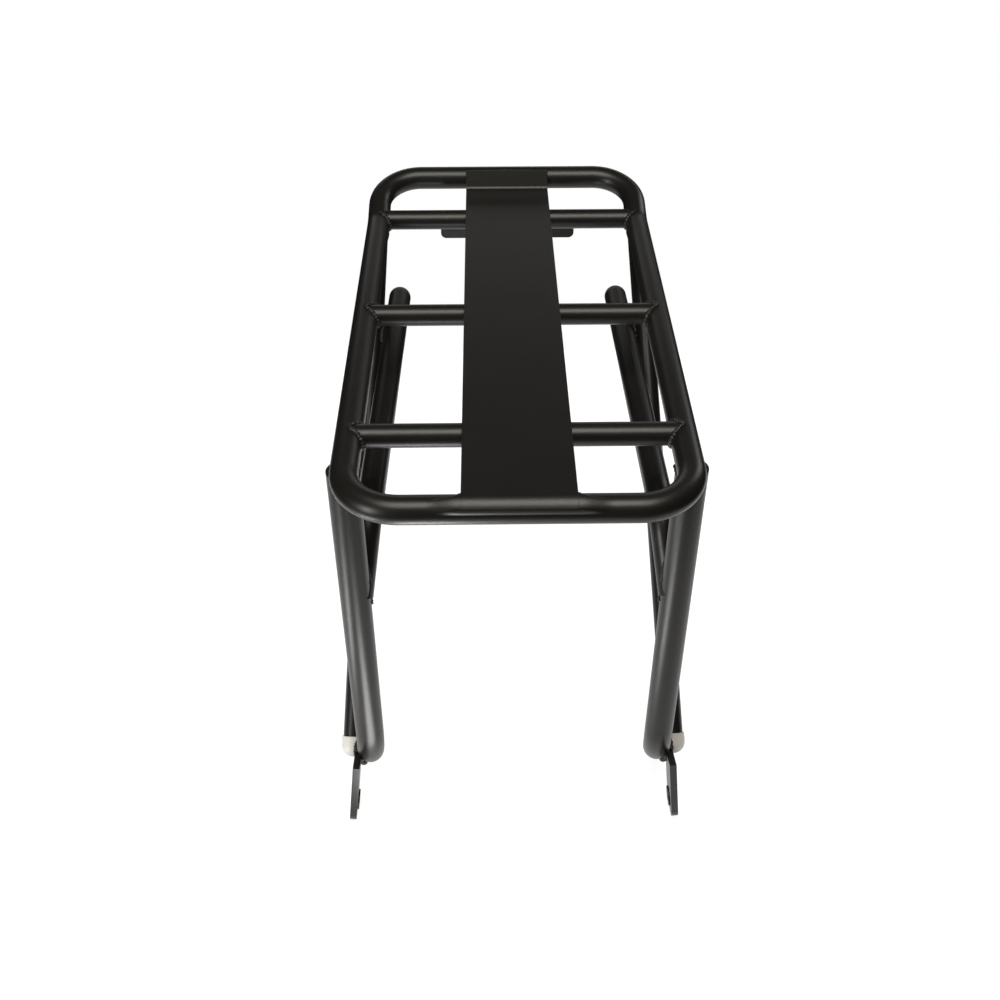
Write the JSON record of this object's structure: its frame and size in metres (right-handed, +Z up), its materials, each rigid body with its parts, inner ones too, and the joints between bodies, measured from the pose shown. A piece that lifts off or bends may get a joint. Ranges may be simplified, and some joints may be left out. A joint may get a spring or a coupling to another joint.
{
  "type": "rear luggage carrier",
  "caption": "Welded tubular bicycle luggage carrier: ladder deck with centre plate, legs, stays, lower rails and lower mounting tabs.",
  "frame": {"origin": "halfway between the two lower mounting holes, on the plane of symmetry", "axes": "+X across the bicycle, +Y to its rear, +Z up"},
  "size_m": [0.2066, 0.3405, 0.2817],
  "materials": {
    "black_coated_aluminium": "satin black powder coat",
    "black_plastic_plug": "moulded, matt",
    "pale_plastic_plug": "moulded, natural colour"
  },
  "bodies": {
    "root": {"deck_loop": "black_coated_aluminium", "cross_tube_front": "black_coated_aluminium", "cross_tube_middle": "black_coated_aluminium", "cross_tube_rear": "black_coated_aluminium", "centre_plate": "black_coated_aluminium", "lamp_plate": "black_coated_aluminium", "leg_left": "black_coated_aluminium", "leg_plug_left": "black_plastic_plug", "stay_left": "black_coated_aluminium", "stay_plug_left": "pale_plastic_plug", "lower_rail_left": "black_coated_aluminium", "rail_plug_left": "black_plastic_plug", "mounting_tab_left": "black_coated_aluminium", "tab_bush_left": "black_coated_aluminium", "leg_right": "black_coated_aluminium", "leg_plug_right": "black_plastic_plug", "stay_right": "black_coated_aluminium", "stay_plug_right": "pale_plastic_plug", "lower_rail_right": "black_coated_aluminium", "rail_plug_right": "black_plastic_plug", "mounting_tab_right": "black_coated_aluminium", "tab_bush_right": "black_coated_aluminium"}
  },
  "joints": []
}
